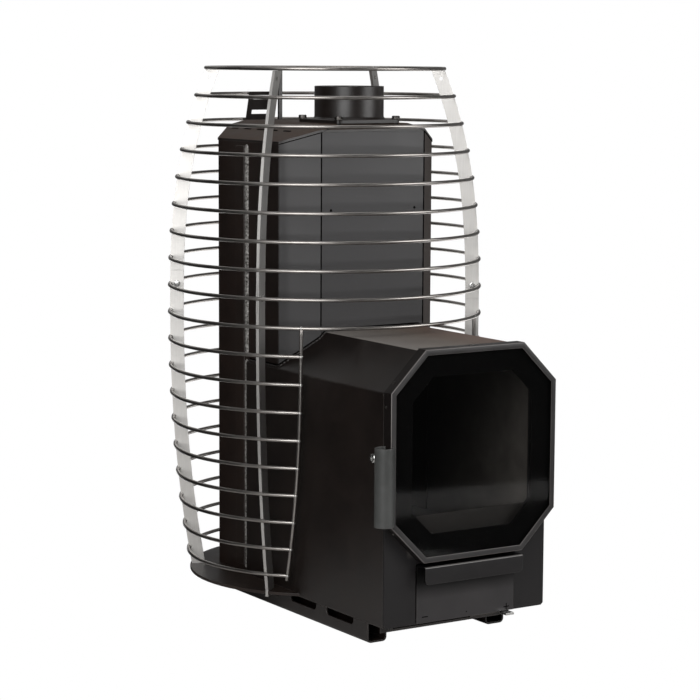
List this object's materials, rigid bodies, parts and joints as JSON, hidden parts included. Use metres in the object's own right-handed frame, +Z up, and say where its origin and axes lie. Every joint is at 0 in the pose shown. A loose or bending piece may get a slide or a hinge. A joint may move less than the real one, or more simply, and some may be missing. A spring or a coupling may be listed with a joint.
{
  "type": "wood-burning sauna stove",
  "caption": "Free-standing wood-burning sauna stove with a steel tower in a barrel-shaped wire stone cage, a through-wall fire tunnel with a glass door, an ash drawer and a flue collar.",
  "frame": {"origin": "centre of the bounding box, on the floor", "axes": "+Z up, the door faces -Y, +X to the viewer's right when facing the door"},
  "size_m": [0.532, 0.7252, 0.8896],
  "materials": {
    "heat_paint": "matte heat-resistant black paint with a brown cast",
    "stainless": "satin stainless",
    "door_grey": "matte dark grey",
    "zinc": "bright zinc-plated",
    "black_glass": "polished black ceramic glass",
    "cast_iron": "as cast"
  },
  "bodies": {
    "stove": {"skid_left": "heat_paint", "skid_right": "heat_paint", "base_plate": "heat_paint", "rear_shell": "heat_paint", "front_shell": "heat_paint", "roof_cap": "heat_paint", "flue_collar": "heat_paint", "tunnel_shell": "heat_paint", "front_plate": "heat_paint", "hearth_plate": "heat_paint", "baffle_plate": "heat_paint", "rear_plate": "heat_paint", "rear_stay": "heat_paint", "ring_01": "stainless", "ring_02": "stainless", "ring_03": "stainless", "ring_04": "stainless", "ring_05": "stainless", "ring_06": "stainless", "ring_07": "stainless", "ring_08": "stainless", "ring_09": "stainless", "ring_10": "stainless", "ring_11": "stainless", "ring_12": "stainless", "ring_13": "stainless", "ring_14": "stainless", "ring_15": "stainless", "ring_16": "stainless", "ring_17": "stainless", "ring_18": "stainless", "ring_19": "stainless", "rib_upper_1": "stainless", "rib_upper_2": "stainless", "rib_upper_3": "stainless", "rib_upper_4": "stainless", "rib_lower_1": "stainless", "rib_lower_2": "stainless", "rib_lower_3": "stainless", "rib_lower_4": "stainless", "opening_wire_left": "stainless", "opening_wire_right": "stainless", "flange_bolt_1": "zinc", "flange_bolt_2": "zinc", "flange_bolt_3": "zinc", "flange_bolt_4": "zinc", "rib_bolt_1": "zinc", "rib_bolt_2": "zinc", "rib_bolt_3": "zinc", "rib_bolt_4": "zinc", "hinge_pin_lower": "zinc", "hinge_pin_upper": "zinc", "catch_bolt": "zinc", "grate": "cast_iron"},
    "door": {"door_frame": "door_grey", "door_glass": "black_glass", "glass_retainer": "heat_paint", "door_handle": "door_grey"},
    "drawer": {"ash_drawer": "heat_paint"},
    "damper": {"damper_slide": "zinc"}
  },
  "joints": [
    {"name": "door_hinge", "type": "hinge", "parent": "stove", "child": "door", "pos_m": [0.1615, -0.3154, 0.299], "axis": [0, 0, 1], "range_deg": [0, 110]},
    {"name": "drawer_slide", "type": "slide", "parent": "stove", "child": "drawer", "axis": [0, -1, 0], "range_m": [0, 0.22]},
    {"name": "damper_slide", "type": "slide", "parent": "stove", "child": "damper", "axis": [-1, 0, 0], "range_m": [0, 0.145]}
  ]
}
